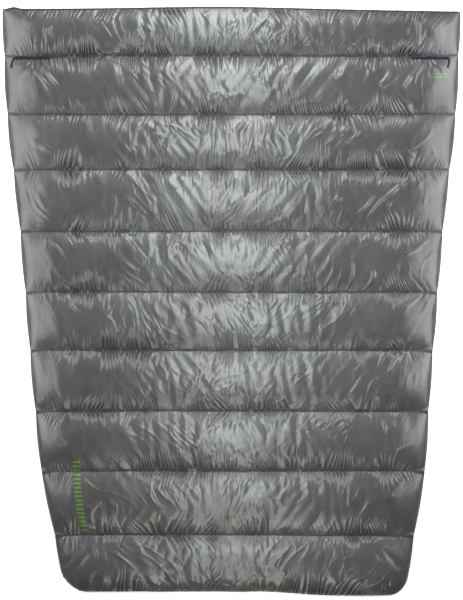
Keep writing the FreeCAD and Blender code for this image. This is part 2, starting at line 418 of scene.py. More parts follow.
def liningFinish(name):
    f = Finish(name)
    mottle = f.cloud(9.0, 4.0, 0.6)
    crease = f.cloud(60.0, 3.0, 0.5, (1, 0.4, 1))
    lines, weave = wovenHeights(f)
    tone = f.blend(mottle, liningCloth["base"], liningCloth["pale"])
    tone = f.blend(lines * 0.25, tone, liningCloth["line"])
    height = (weave * weaving["threadDepth"] + lines * weaving["ripstopDepth"]
              + crease * liningCloth["creaseDepth"])
    rough = mottle * 0.15 + liningCloth["roughness"]
    return f.finish(tone, rough, height, depth=1.0, strength=0.5,
                    Sheen_Weight=0.25, Sheen_Roughness=0.4)


def tapeFinish(name, dark, light, rib=0.0009, rough=0.75):
    # a woven tape: fine ribs across it, with worn, paler crowns
    f = Finish(name)
    ribs = f.wave(f.x + f.y, rib) * 0.5 + 0.5
    wear = f.cloud(160.0, 3.0, 0.6)
    tone = f.blend((ribs * 0.55 + wear * 0.45).clamped(), dark, light)
    cross = f.wave(f.x - f.y, rib * 1.7)
    return f.finish(tone, wear * 0.2 + rough, ribs * 0.00012 + cross * 0.00005, depth=1.0,
                    strength=0.8, Specular_IOR_Level=0.25)


def threadFinish():
    f = Finish("seamThread")
    twist = f.wave(f.x + f.y * 0.6, 0.0007) * 0.5 + 0.5
    tone = f.blend(twist, (0.030, 0.029, 0.031), (0.085, 0.084, 0.088))
    return f.finish(tone, twist * 0.15 + 0.5, twist * 0.0001, depth=1.0, strength=0.6)


def snapFinish():
    f = Finish("snapPlastic")
    grain = f.cloud(900.0, 2.0, 0.5)
    scuff = f.cloud(120.0, 4.0, 0.7)
    tone = f.blend(((scuff - 0.5) * 3).clamped(), (0.014, 0.007, 0.010), (0.040, 0.020, 0.024))
    return f.finish(tone, scuff * 0.25 + 0.28, grain * 0.00004, depth=1.0, strength=0.5)


def floorFinish():
    f = Finish("paleFloor")
    tone = f.blend(f.cloud(3.0), (0.93, 0.93, 0.93), (0.96, 0.96, 0.96))
    return f.finish(tone, 0.75, Emission_Color=(1, 1, 1, 1), Emission_Strength=0.3)


def within(f, centre, size, softness=0.0006):
    # 1 inside an upright rectangle, seen from above
    sideX = ((size[0] / 2 - (f.x - centre[0]).absolute()) / softness).clamped()
    sideY = ((size[1] / 2 - (f.y - centre[1]).absolute()) / softness).clamped()
    return sideX * sideY


# a plain printed strip of equal dashes across seam 8, and a small pair of bars near the head
stripMark = {
    "seam": 8,
    "x": -0.512,
    "above": 0.042,  # how far above that seam it starts
    "width": 0.025,
    "length": 0.238,
    "dashes": 17,
    "gap": 0.56,
    "lean": 0.11,
    "softness": 0.0008,
    "cover": 0.90,
}
pairMark = {"seam": 1, "x": 0.692, "size": (0.056, 0.0050), "drop": (0.062, 0.073), "cover": 0.42}


def stripPrinted(f):
    top = seamY[stripMark["seam"]] + stripMark["above"]
    below = (top - f.y) / stripMark["length"]
    centre = stripMark["x"] + below * below * stripMark["lean"] * stripMark["length"]
    side = (stripMark["width"] / 2 - (f.x - centre).absolute()) / stripMark["softness"]
    side = side.clamped()
    part = below * stripMark["dashes"]
    part = part - part.floor()
    printed = side * (part > stripMark["gap"]) * (below > 0) * (below < 1)
    return printed * (f.z > quilt["sideEdge"]) * stripMark["cover"]


def pairPrinted(f):
    seam = seamY[pairMark["seam"]]
    low, high = (within(f, (pairMark["x"], seam - drop), pairMark["size"])
                 for drop in pairMark["drop"])
    return (low + high).clamped() * pairMark["cover"]


shell = shellFinish("shellNylon", [stripPrinted, pairPrinted])
lining = liningFinish("liningNylon")
hemTape = tapeFinish("hemTape", (0.016, 0.015, 0.017), (0.050, 0.049, 0.054))
strapTape = tapeFinish("strapTape", (0.004, 0.003, 0.008), (0.014, 0.009, 0.026))
thread = threadFinish()
snapPlastic = snapFinish()
print("finishes made")


# Chambers

casing = {
    "columns": 380,
    "rows": 32,
    "crown": 0.0255,  # how far the cut cloth bulges above its seams before it swells
    "sideRoll": 0.094,  # the width of the side tubes, which slope down to the edge
    "sideSlope": 0.62,
    "spareAcross": 0.036,  # extra cloth across the quilt, which the down pushes into folds
    "flankSpare": 0.30,  # the share of it that is left towards the sides
    "spareAlong": 0.006,
    "skew": 0.055,  # how far the cloth is dragged sideways between two seams
    "unevenness": 0.0034,
    "flankUneven": 0.22,  # the share of it that is left towards the sides
    "startAngles": (-0.65, 0.65, 0.10),
    "startFolds": (34, 8),  # how many a metre, across them and along them
    "inward": 0.45,  # how much more often folds run towards the middle line
    "inwardFrom": 0.2,
    "oneDirection": 12,  # how firmly one direction of fold rules at a place
    "middle": 0.46,  # half the width of the puffed middle
    "rowCrowding": 0.32,  # how much closer the rows are at the seams
    "sideBulge": 0.004,
    "pressure": 4.0,
    "steps": 20,
    "sink": 0.002,  # how far a fold may lie under its seams
    "softFrom": 0.040,  # heights above this are pressed together, up to the highest
    "highest": 0.0490,
}
edges = {
    "headArch": (0.007, -0.05, 0.35),  # height, place and reach
    "headEar": (0.006, -0.722, 0.018),
    "headFall": (0.008, 0.7),
    "footFall": (0.013, 0.10, 0.24),  # height, start and width
    "footWave": (0.0012, 9),  # height, and waves a metre
    "seamDrift": (0.0016, 2.3),
    "seamWave": (0.0011, 17),
}


def angled(x, y, angle):
    # places across and along a direction that leans this far from the quilt's length
    return x * math.cos(angle) + y * math.sin(angle), y * math.cos(angle) - x * math.sin(angle)


def leaningParts(x, y, seed, angles):
    # the share of each fold direction at every place, where mostly one rules
    votes = np.stack([smoothNoise(x * 5 + 0.37 * k, y * 6, seed + 13 * k)
                      - casing["inward"] * angle * np.tanh(x / casing["inwardFrom"])
                      for k, angle in enumerate(angles)])
    return np.exp(casing["oneDirection"] * (votes - votes.max(axis=0)))


def startFolds(x, y, seed):
    # the first unevenness, which the swelling grows into folds
    angles = casing["startAngles"]
    acrossScale, alongScale = casing["startFolds"]
    total = 0
    for k, part in enumerate(leaningParts(x, y, seed, angles)):
        across, along = angled(x, y, angles[k])
        total = total + part * smoothNoise(across * acrossScale, along * alongScale,
                                           seed + 40 * k + 7)
    return total


def middlePart(x):
    # 1 along the middle of the quilt, 0 towards its sides
    return np.exp(-(x / casing["middle"]) ** 4)


def headLine(x):
    # the head edge sags a little towards the right, with a small ear at the left corner
    (arch, archAt, archReach), (ear, earAt, earReach) = edges["headArch"], edges["headEar"]
    fall, fallWidth = edges["headFall"]
    return (arch * np.exp(-((x - archAt) / archReach) ** 2)
            - fall * np.clip(x / fallWidth, 0, 1) ** 1.5
            + ear * np.exp(-((x - earAt) / earReach) ** 2))


def footLine(x):
    # the foot edge hangs a little lower at the right
    (fall, start, width), (wave, waves) = edges["footFall"], edges["footWave"]
    return (-fall * smoothStep((x - start) / width)
            + wave * smoothNoise(x * waves, x * 0 + 1.5, 480))


def seamWander(number, x):
    # the seam's own small wander, the same for both chambers that meet there
    (far, slow), (near, quick) = edges["seamDrift"], edges["seamWave"]
    return (far * smoothNoise(x * slow, x * 0 + 3.5, 460 + number)
            + near * smoothNoise(x * quick, x * 0 + 5.5, 470 + number))


def softTop(part):
    # part up to 1, with a soft bend where it gets there
    bend = 0.13
    return np.clip(1 - bend * np.log1p(np.exp((1 - part) / bend)), 0, 1)


class Panel:
    # one chamber's top panel: a grid of points, with rows from its head seam to its foot seam
    def __init__(self, number):
        self.number = number
        self.body = chamberBody(number)
        even = np.linspace(0, 1, casing["rows"] + 1)
        crowding = casing["rowCrowding"] * np.sin(2 * np.pi * even) / (2 * np.pi)
        self.share = (even - crowding)[:, None]
        self.u = np.linspace(-1, 1, casing["columns"])[None, :]
        head, foot = seamY[number - 1], seamY[number]
        straight = head + (foot - head) * self.share + 0 * self.u
        rightHalf = halfWidth(straight, quilt["rightCorner"])
        half = np.where(self.u < 0, halfWidth(straight), rightHalf)
        nearSide = np.clip((np.abs(self.u) - 0.8) / 0.2, 0, 1)
        bulge = casing["sideBulge"] * np.sin(np.pi * self.share) * nearSide
        self.x = self.u * (half + bulge) + drift(straight)
        inside = softTop((1 - np.abs(self.u)) * half / casing["sideRoll"])
        start = np.clip(inside / (1 - casing["sideSlope"]), 0, 1)
        self.roll = ((1 - casing["sideSlope"]) * np.sqrt(1 - (1 - start) ** 2)
                     + casing["sideSlope"] * inside)
        last = number == quilt["chambers"]
        headX, footX = self.x[:1], self.x[-1:]
        headWander = headLine(headX) if number == 1 else seamWander(number - 1, headX)
        footWander = footLine(footX) if last else seamWander(number, footX)
        self.y = straight + headWander * (1 - self.share) + footWander * self.share
        self.base = self.baseHeight()
        # the last chamber is fullest near the foot edge
        full = self.share ** 1.5 if last else self.share
        lens = 4 * full * (1 - full)
        smooth = self.base + casing["crown"] * lens ** 0.8 * self.roll
        self.start = np.stack([self.x, self.y, smooth], -1)
        self.cut = self.cutShape(self.start)
        uneven = casing["unevenness"] * startFolds(self.x, self.y, 90 + number) * np.sqrt(lens)
        flank = casing["flankUneven"]
        uneven = uneven * (flank + (1 - flank) * middlePart(self.x))
        self.start[..., 2] += uneven * self.roll
        self.points = self.start.copy()

    def baseHeight(self):
        # the height of the seams' line, which drops at the side edges, except where a seam
        # pinches them
        last = self.number == quilt["chambers"]
        pinch = (1 - 4 * self.share * (1 - self.share)) ** 6
        # the head and foot edges have no such seam
        if self.number == 1:
            pinch = pinch * (self.share > 0.5)
        elif last:
            pinch = pinch * (self.share < 0.5)
        edge = quilt["sideEdge"] + (seamZ - quilt["sideEdge"]) * np.maximum(self.roll, pinch)
        if last:
            edge = edge + (pocketRoof - seamZ) * self.share ** 6 * self.roll
        return edge

    def cutShape(self, surface):
        # the flat cloth that this surface is sewn from, with its spare width and its skew
        across = np.linalg.norm(np.diff(surface, axis=1), axis=2)
        along = np.linalg.norm(np.diff(surface, axis=0), axis=2)
        spare = casing["flankSpare"] + (1 - casing["flankSpare"]) * middlePart(self.x)
        across = across * (1 + casing["spareAcross"] * (spare[:, 1:] + spare[:, :-1]) / 2)
        x = np.concatenate([np.zeros((len(surface), 1)), np.cumsum(across, axis=1)], axis=1)
        x = x - x[:, -1:] / 2
        y = np.concatenate([np.zeros((1, surface.shape[1])), np.cumsum(along, axis=0)], axis=0)
        y = -y * (1 + casing["spareAlong"])
        seed = 700 + 2 * self.number
        headDrag, footDrag = (
            casing["skew"] * fractalNoise(self.u * 4.2, self.u * 0 + 2.5, seed + k)
            for k in (0, 1))
        x = x + headDrag * (1 - self.share) + footDrag * self.share
        return np.stack([x, y, 0 * x], -1)

    def hang(self):
        index = np.arange(self.points[..., 0].size).reshape(self.points.shape[:2])
        cloth = meshObject(f"cutPanel{self.number}", self.start, gridFaces(index))
        cloth.shape_key_add(name="sewn")
        cut = cloth.shape_key_add(name="cut")
        cut.data.foreach_set("co", self.cut.ravel())
        held = cloth.vertex_groups.new(name="sewnDown")
        edges = np.concatenate([index[0], index[-1], index[1:-1, 0], index[1:-1, -1]])
        held.add([int(i) for i in edges], 1.0, "REPLACE")
        push = cloth.vertex_groups.new(name="down")
        lumps = 0.75 + 0.45 * smoothNoise(self.x * 11, self.y * 11, 300 + self.number)
        for level in range(1, 11):
            near = np.abs(np.clip(lumps, 0.1, 1.0) * 10 - level) <= 0.5
            push.add([int(i) for i in index[near]], level / 10, "REPLACE")
        modifier = cloth.modifiers.new("cloth", "CLOTH")
        settings = modifier.settings
        settings.quality = 5
        settings.mass = 0.1
        settings.air_damping = 2
        settings.tension_stiffness = 25
        settings.compression_stiffness = 30
        settings.shear_stiffness = 8
        settings.bending_stiffness = 0.30
        settings.rest_shape_key = cut
        settings.vertex_group_mass = "sewnDown"
        settings.vertex_group_pressure = "down"
        settings.use_pressure = True
        settings.uniform_pressure_force = casing["pressure"]
        settings.effector_weights.gravity = 0
        modifier.collision_settings.use_collision = False
        modifier.point_cache.frame_start = 1
        modifier.point_cache.frame_end = casing["steps"]
        self.cloth = cloth

    def takeDown(self):
        shown = self.cloth.evaluated_get(bpy.context.evaluated_depsgraph_get())
        mesh = bpy.data.meshes.new_from_object(shown)
        flat = np.empty(len(mesh.vertices) * 3, np.float32)
        mesh.vertices.foreach_get("co", flat)
        self.points = flat.reshape(self.points.shape).astype(float)
        bpy.data.objects.remove(self.cloth)
        bpy.data.meshes.remove(mesh)


def swell(panels):
    # the down pushes every panel out at once, and the folds form by themselves
    for panel in panels:
        panel.hang()
    scene.frame_start = 1
    scene.frame_end = casing["steps"]
    for step in range(1, casing["steps"] + 1):
        scene.frame_set(step)
    for panel in panels:
        panel.takeDown()
    scene.frame_set(1)


def settleHeights(panel):
    # no fold sinks under its seams or stands above the loft
    z = panel.points[..., 2]
    z[1:-1, 1:-1] = np.clip(z[1:-1, 1:-1], panel.base[1:-1, 1:-1] - casing["sink"], None)
    over = np.clip(z - casing["softFrom"], 0, None)
    room = casing["highest"] - casing["softFrom"]
    panel.points[..., 2] = z - over + room * (1 - np.exp(-over / room))


underneath = {
    "gap": 0.0004,  # above the ground, or below the pocket's roof
    "drop": 1.55,  # how deep the lining bulges, in seam heights
    "deepest": 0.006,  # how deep its folds may be
    "folds": 0.45,  # how much of the shell's folds it takes
    "soft": 0.0012,  # how softly it meets the ground
    "sideReach": 0.10,
    "seamReach": 0.020,
    "creases": 1.4,
    "puckerHeight": 0.0040,
}


def underside(panel):
    # the lining: the same plan, flat where it lies on the ground, with shallower folds
    lens = 4 * panel.share * (1 - panel.share)
    if panel.number < quilt["pocketFrom"]:
        drop = seamZ * underneath["drop"] * lens ** 0.8
        floor = underneath["gap"]
    else:
        drop = (seamZ - pocketRoof) * np.sqrt(lens)
        floor = pocketRoof - underneath["gap"]
    z = panel.base - drop * panel.roll
    folds = panel.points[..., 2] - (panel.base + casing["crown"] * 1.1 * lens * panel.roll)
    folds = folds[:, ::-1] - folds.mean(axis=1, keepdims=True)
    deepest, soft = underneath["deepest"], underneath["soft"]
    z = z + np.clip(folds, -deepest, deepest) * underneath["folds"] * np.sqrt(lens)
    z = floor + soft * np.log1p(np.exp(np.clip((z - floor) / soft, -30, 30)))
    low = np.stack([panel.x, panel.y, z], -1)
    for edge in (np.s_[0], np.s_[-1], np.s_[:, 0], np.s_[:, -1]):
        low[edge] = panel.points[edge]
    return low


def finer(points):
    # twice as many rows and columns, on a smooth surface through the same points
    for axis in (0, 1):
        points = np.moveaxis(points, axis, 0)
        before = np.concatenate([2 * points[:1] - points[1:2], points[:-2]])
        after = np.concatenate([points[2:], 2 * points[-1:] - points[-2:-1]])
        between = (9 * (points[:-1] + points[1:]) - before - after) / 16
        made = np.empty((2 * len(points) - 1, *points.shape[1:]))
        made[0::2], made[1::2] = points, between
        points = np.moveaxis(made, 0, axis)
    return points


# the puckers along a seam; the pairs are a strength and how many waves of noise a metre
puckering = {
    "every": 0.0145,
    "height": 0.0020,
    "heightFrom": 0.008,  # the height fades to nothing at the seam itself
    "steepest": 0.009,  # how wide a pucker's steep end is; a narrower one clashes when folded
    "shift": 0.021,  # how much sooner a pucker's valley drops to the seam than its crown
    "jog": 0.0006,
    "lean": 8.0,
    "drag": ((2.0, 11), (1.1, 31)),
    "strength": (1.3, 12),
    "usual": 0.65,
    "limits": (0.06, 1.6),
    "reach": 0.020,
    "reachVaries": (1.1, 19),
    "roundness": 0.8,
    "level": 0.6,
    "fade": 1.3,
    "footSide": 1.6,  # how much longer they are on the side that faces the head
}
creaseAngles = (-0.90, -0.52, 0.50, 0.86, -0.10)
# three sizes of crease, and how strong each is at the sides and how much more in the middle
creaseKinds = (
    {"height": 0.0007, "sides": 0.15, "more": 0.85, "seed": 0, "scale": (60, 11), "thin": 0.20},
    {"height": 0.0015, "sides": 0.35, "more": 0.65, "seed": 11, "scale": (33, 5.0), "thin": 0.14},
    {"height": 0.0045, "sides": 1, "more": -0.6, "seed": 23, "scale": (17, 3.2), "thin": 0.11},
)
calming = {"usual": 0.75, "varies": 1.3, "leftSide": 0.35, "leftReach": 0.5}
creased = {"seamReach": 0.030, "sideReach": 0.16, "atSides": 0.25}
strapPull = {
    "from": 0.650,
    "depth": 0.010,
    "width": 0.032,
    "length": 0.040,
    "seamReach": 0.006,
    "folds": 6.5,
    "foldHeight": 0.0032,
    "foldReach": 0.055,
}


def gathers(number, x, away, length=1.0):
    # puckers that fan out from a seam: round crowns between sharp valleys
    lean = smoothNoise(x * puckering["lean"], x * 0 + 2.5, 440 + number)
    place = x + away * lean
    (wide, wideScale), (close, closeScale) = puckering["drag"]
    drag = wide * smoothNoise(place * wideScale, x * 0 + 0.5, 400 + number)
    drag = drag + close * smoothNoise(place * closeScale, x * 0 + 4.5, 410 + number)
    varies, scale = puckering["strength"]
    strength = puckering["usual"] + varies * smoothNoise(x * scale, x * 0 + 7.5, 430 + number)
    strength = np.clip(strength, *puckering["limits"])
    varies, scale = puckering["reachVaries"]
    reach = length * puckering["reach"] * (
        varies + varies * smoothNoise(x * scale, x * 0 + 6.5, 450 + number))
    crowns = np.abs(np.sin(np.pi * (place / puckering["every"] + drag)))
    crowns = crowns ** puckering["roundness"] - puckering["level"]
    return crowns * strength * np.exp(-(away / reach) ** puckering["fade"])


def pucker(high, away, puckers):
    # each pucker's crown keeps its height nearly to the seam, and its valleys fall early
    ease = np.clip(away / puckering["steepest"], 0, 1)
    moved = np.clip(away + puckering["shift"] * puckers * ease, 0.2 * away, None)
    order = np.argsort(away, axis=0)
    for column in range(high.shape[1]):
        rank = order[:, column]
        heights = high[rank, column, 2]
        high[:, column, 2] = np.interp(moved[:, column], away[rank, column], heights)


def creaseLines(x, y, seed, angle, kind):
    # thin ridges at an angle, in patches
    across, along = angled(x, y, angle)
    acrossScale, alongScale = kind["scale"]
    bend = 0.5 * smoothNoise(x * 8, y * 8, seed + 3)
    field = smoothNoise(across * acrossScale + bend, along * alongScale, seed)
    patch = smoothNoise(x * 9 + 0.3, y * 11 + 0.7, seed + 5)
    return np.exp(-(field / kind["thin"]) ** 2) * np.clip(0.35 + 1.8 * patch, 0, 1)


def calm(x, y, seed):
    # 0 in the smooth patches, which are larger at the left side
    patches = calming["usual"] + calming["varies"] * smoothNoise(x * 5.5, y * 8, seed)
    left = calming["leftSide"] * np.clip(-x / calming["leftReach"], 0, 1)
    return np.clip(patches - left, 0, 1)


def creasePattern(x, y, seed):
    middle = middlePart(x)
    total = 0
    for k, part in enumerate(leaningParts(x, y, seed + 9, creaseAngles)):
        for kind in creaseKinds:
            strength = kind["height"] * part * (kind["sides"] + kind["more"] * middle)
            kindSeed = seed + 50 * k + kind["seed"]
            total = total + strength * creaseLines(x, y, kindSeed, creaseAngles[k], kind)
    return total * calm(x, y, seed + 3)


def strapDrag(x, away):
    # the straps pull the cloth below them into a hollow with a few folds
    side = np.abs(x) - strapPull["from"]
    apart = np.hypot(side, away)
    fan = np.abs(np.sin(strapPull["folds"] * np.arctan2(away, side)))
    hollow = strapPull["depth"] * np.exp(
        -(side / strapPull["width"]) ** 2 - (away / strapPull["length"]) ** 2)
    near = np.clip(away / strapPull["seamReach"], 0, 1)
    folds = strapPull["foldHeight"] * fan * np.exp(-(apart / strapPull["foldReach"]) ** 2)
    return near * (hollow - folds)


def sideShare(points, reach):
    # 0 at the side edges, up to 1 at this share of half the width
    inside = 1 - np.abs(np.linspace(-1, 1, points.shape[1]))
    return np.clip(inside / reach, 0, 1)[None, :]


def shellCreased(panel):
    # the swollen panel on a finer grid, with its creases and puckers
    high = finer(panel.points)
    x, y = high[..., 0].copy(), high[..., 1].copy()
    fromHead, fromFoot = np.clip(y[:1] - y, 0, None), np.clip(y - y[-1:], 0, None)
    fromSeam = np.minimum(fromHead, fromFoot)
    fromSide = sideShare(high, creased["sideReach"])
    atSides = creased["atSides"]
    fromSide = atSides * np.clip(fromSide * 4, 0, 1) + (1 - atSides) * fromSide ** 2
    away = np.clip(fromSeam / creased["seamReach"], 0, 1)
    headPuckers = gathers(panel.number - 1, x, fromHead)
    footPuckers = gathers(panel.number, x, fromFoot, puckering["footSide"])
    pucker(high, fromHead, headPuckers * fromSide)
    pucker(high, fromFoot, footPuckers * fromSide)
    high[..., 2] += creasePattern(x, y, 20 + 7 * panel.number) * away * fromSide
    rise = np.clip(fromSeam / puckering["heightFrom"], 0, 1)
    high[..., 2] += puckering["height"] * (headPuckers + footPuckers) * fromSide * rise
    high[..., 1] += puckering["jog"] * (headPuckers + footPuckers) * fromSide
    if panel.number == 2:
        high[..., 2] -= strapDrag(x, fromHead)
    return high


def liningCreased(panel):
    # the lining lies on the ground, so its creases stand up into the padding
    low = finer(underside(panel))
    x, y = low[..., 0].copy(), low[..., 1].copy()
    fromSeam = np.clip(np.minimum(y[:1] - y, y - y[-1:]), 0, None)
    inside = sideShare(low, underneath["sideReach"])
    away = np.clip(fromSeam / underneath["seamReach"], 0, 1) * inside
    rows = smoothStep(np.linspace(0, 1, len(low)))[:, None]
    puckers = [gathers(panel.number + 30 - k, x, fromSeam) for k in (1, 0)]
    puckers = np.clip(puckers[0] * (1 - rows) + puckers[1] * rows, 0, None)
    lines = creasePattern(x, y, 520 + 7 * panel.number)
    raised = underneath["creases"] * lines * away + underneath["puckerHeight"] * puckers * away
    low[1:-1, 1:-1, 2] += raised[1:-1, 1:-1]
    return low


def closeCasing(panel):
    low = liningCreased(panel)
    high = shellCreased(panel)
    panel.high = high
    number = panel.number
    made = closedShell(f"casing{number}", high, low, [shell, lining])
    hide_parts(f"shell_panel_{number}", f"lining_panel_{number}",
                f"down_fill_{number}", f"side_tubes_{number}")
    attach(made, panel.body)
    return made


panels = [Panel(number) for number in range(1, quilt["chambers"] + 1)]
print("panels cut")
swell(panels)
print("down has swollen the chambers")
for panel in panels:
    settleHeights(panel)
casings = [closeCasing(panel) for panel in panels]
print("casings closed")


# Stitching and hems

stitching = {"stitch": 0.0030, "gap": 0.0012, "radius": 0.00050, "lift": 0.0006}


def resampled(path, spacing):
    path = np.asarray(path, float)
    run = np.concatenate([[0], np.cumsum(np.linalg.norm(np.diff(path, axis=0), axis=1))])
    where = np.linspace(0, run[-1], max(2, int(run[-1] / spacing) + 1))
    return np.stack([np.interp(where, run, path[:, k]) for k in range(3)], -1)


def stitchRow(path, thick=1.0):
    # short round stitches, one after the other, that dip into the cloth at their ends
    step = stitching["stitch"] + stitching["gap"]
    line = resampled(path, step / 4)
    parts = []
    for start in range(0, len(line) - 4, 4):
        piece = resampled(line[start:start + 4], stitching["stitch"] / 3.01)
        swellHere = np.interp(np.linspace(0, 1, len(piece)), [0, 0.2, 0.8, 1], [0.35, 1, 1, 0.35])
        piece[:, 2] += stitching["lift"] * (swellHere - 0.35)
        parts.append(tube(piece, stitching["radius"] * thick * swellHere, sides=6))
    return parts


def seamBody(number):
    # the CAD says which side of its hinge a seam's thread belongs to
    return frame["nodes"][f"seam_thread_{number}"]["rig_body"]


for number in range(1, quilt["chambers"]):
    row = panels[number].high[0]
    stitches = facedMesh(f"stitches{number}", stitchRow(row), thread)
    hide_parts(f"seam_thread_{number}")
    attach(stitches, seamBody(number))

sideHem = {"radius": 0.0013, "flatten": 1.6, "short": 0.0035, "step": 0.0005, "pitch": 0.004}
for panel in panels:
    sides = []
    for column in (0, -1):
        # it stops short of the seams, so that its neighbour clears it when the quilt folds
        path = resampled(panel.high[:, column], sideHem["step"])
        cut = int(sideHem["short"] / sideHem["step"])
        path = resampled(path[cut:-cut], sideHem["pitch"])
        sides.append(tube(path, sideHem["radius"], sides=8, flatten=sideHem["flatten"]))
    hem = facedMesh(f"sideHem{panel.number}", sides, shell)
    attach(hem, panel.body)

headHem = {"radius": 0.0026, "pucker": 0.00045, "wave": 0.0004, "ahead": 0.0010,
           "pitch": 0.0035}


def makeHeadHem():
    path = resampled(panels[0].high[0], headHem["pitch"])
    x = path[:, 0]
    path[:, 1] += headHem["ahead"]
    path[:, 2] += headHem["wave"] * smoothNoise(x * 60, x * 0 + 4.5, 41)
    girth = headHem["radius"] + headHem["pucker"] * smoothNoise(x * 140, x * 0 + 1.5, 40)
    made = facedMesh("headHem", [tube(path, girth, sides=10, flatten=0.85)], hemTape)
    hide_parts("head_binding")
    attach(made, "neck")
    above = path + np.array([0, -0.0012, headHem["radius"] * 0.88])
    rowOfStitches = facedMesh("headHemStitches", stitchRow(above, 0.8), thread)
    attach(rowOfStitches, "neck")


makeHeadHem()
print("hems and stitches made")


# Foot pocket

pocket = {
    "columns": 150,
    "rows": 46,
    "rim": 0.0016,
    "rimReach": 0.03,
    "seamReach": 0.05,
    "middle": 0.42,  # how high its rim lies, as a share of its height
    "wrinkle": 0.0009,
    "clear": 0.0003,  # above the ground
}


def makePocketPanel():
    low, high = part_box("pocket_shell")
    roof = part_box("pocket_lining")[1].z
    share = np.linspace(0, 1, pocket["rows"])[:, None]
    u = np.linspace(-1, 1, pocket["columns"])[None, :]
    y = high.y + (low.y - high.y) * share + 0 * u
    margin = halfWidth(high.y) - high.x
    x = u * (halfWidth(y) - margin)
    # it pinches in at its rim and at one seam across its middle
    middle = np.clip(np.abs(y - (high.y + low.y) / 2) / pocket["seamReach"], 0, 1)
    inside = np.minimum((1 - np.abs(u)) * high.x, np.minimum(high.y - y, y - low.y))
    rim = np.clip(inside / pocket["rimReach"], 0, 1)
    loft = np.sqrt(1 - (1 - rim) ** 2) * (0.35 + 0.65 * np.sqrt(1 - (1 - middle) ** 2))
    fold = pocket["wrinkle"] * fractalNoise(x * 55, y * 20, 60)
    mid = roof * pocket["middle"]
    topZ = mid + pocket["rim"] * rim + (roof - mid - pocket["rim"]) * loft + fold * loft * 0.5
    lowZ = np.clip(mid - mid * loft - fold * loft * 0.4 * (1 - rim), pocket["clear"], None)
    lowZ = lowZ + np.abs(fold) * 0.25
    made = closedShell("pocketPanel", np.stack([x, y, topZ], -1), np.stack([x, y, lowZ], -1),
                       [lining, shell])
    smooth = made.modifiers.new("smooth", "SUBSURF")
    smooth.levels = smooth.render_levels = 1
    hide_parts("pocket_shell", "pocket_down", "pocket_lining")
    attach(made, "foot")


makePocketPanel()
for name in ("pocket_wall_left", "pocket_wall_right", "pocket_wall_foot"):
    wall = frame["nodes"][name]
    wall.data.materials.clear()
    wall.data.materials.append(lining)
print("foot pocket made")


# Neck straps

strap = {
    "width": 0.0095,
    "inGroove": 0.0015,
    "thick": 0.0011,
    "clear": 0.0007,  # above the highest folds that it lies on
    "tail": 0.0065,  # the tail's width
    "tailLength": 0.034,
    "lean": {"left": 0.42, "right": 0.04},
    "snap": 0.0048,
    "tack": ((0.0015, 0.0115), 0.0028),  # where its stitching starts and ends, and half its width
}


def shellHeight(tree, x, y):
    hit = tree.ray_cast(Vector((x, y, 0.2)), Vector((0, 0, -1)))[0]
    return hit.z if hit is not None else seamZ


def ribbon(path, width, thick, side):
    # a flat closed tape along a path; side is the direction across it at each point
    path, side = np.asarray(path, float), np.asarray(side, float)
    profile = [(-0.5, 0), (-0.46, 1), (-0.15, 1.12), (0.15, 1.12), (0.46, 1), (0.5, 0),
               (0.3, -0.1), (-0.3, -0.1)]
    up = np.array([0, 0, 1.0])
    width = np.broadcast_to(width, (len(path),))
    points = np.concatenate([
        path[k][None] + np.array([side[k] * width[k] * a + up * thick * b for a, b in profile])
        for k in range(len(path))])
    index = np.arange(len(points)).reshape(len(path), len(profile))
    return points, ringFaces(index)


def smoothed(values, reach):
    kernel = np.hanning(2 * reach + 3)[1:-1]
    padded = np.pad(values, reach, mode="edge")
    return np.convolve(padded, kernel / kernel.sum(), mode="valid")


def makeStrap(side, name, tree):
    node = f"neck_strap_{name}"
    low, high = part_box(node)
    inner, outer = sorted((abs(low.x), abs(high.x)))
    lineY = high.y - strap["width"] / 2 + strap["inGroove"]
    # a straight run in the groove, then a tail that turns down towards the foot
    run = np.linspace(inner, outer - 0.004, 44)
    heights = np.array([max(shellHeight(tree, side * x, lineY + dy) for dy in (-0.003, 0, 0.003))
                        for x in run])
    heights = np.maximum(smoothed(heights, 4), heights - 0.0006) + strap["clear"]
    path = np.stack([side * run, np.full(len(run), lineY), heights], -1)
    across = np.tile([0, 1.0, 0], (len(run), 1))
    parts = [ribbon(path, strap["width"], strap["thick"], across)]
    down = np.linspace(0, strap["tailLength"], 26)
    tailX = side * (outer - 0.003 + strap["lean"][name] * down + 0.002 * np.sin(down * 130))
    tailY = lineY + 0.003 - down
    tailZ = np.array([shellHeight(tree, x, y) for x, y in zip(tailX, tailY)])
    tailZ = np.maximum(smoothed(tailZ, 3), tailZ) + strap["clear"] + strap["thick"] * 0.6
    tail = np.stack([tailX, tailY, tailZ], -1)
    across = np.tile([side, 0, 0], (len(down), 1))
    parts.append(ribbon(tail, strap["tail"], strap["thick"] * 0.9, across))
    made = facedMesh(f"strap_{name}", parts, strapTape)
    bevel = made.modifiers.new("smooth", "SUBSURF")
    bevel.levels = bevel.render_levels = 1
    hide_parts(node)
    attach(made, f"strap_{name}")
    makeSnap(side, name, tail[-3])
    # the inner end is stitched down with a small box of thread
    (near, far), half = strap["tack"]
    box = [(near, -half), (far, -half), (far, half), (near, half), (near, -half), (far, half)]
    lines = []
    for (startX, startY), (endX, endY) in zip(box, box[1:]):
        steps = np.linspace(0, 1, 10)
        x = side * (inner + startX + (endX - startX) * steps)
        y = lineY + startY + (endY - startY) * steps
        z = np.interp(np.abs(x), run, heights) + strap["thick"] * 1.05
        lines += stitchRow(np.stack([x, y, z], -1), 0.7)
    tack = facedMesh(f"strapTack_{name}", lines, thread)
    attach(tack, f"strap_{name}")


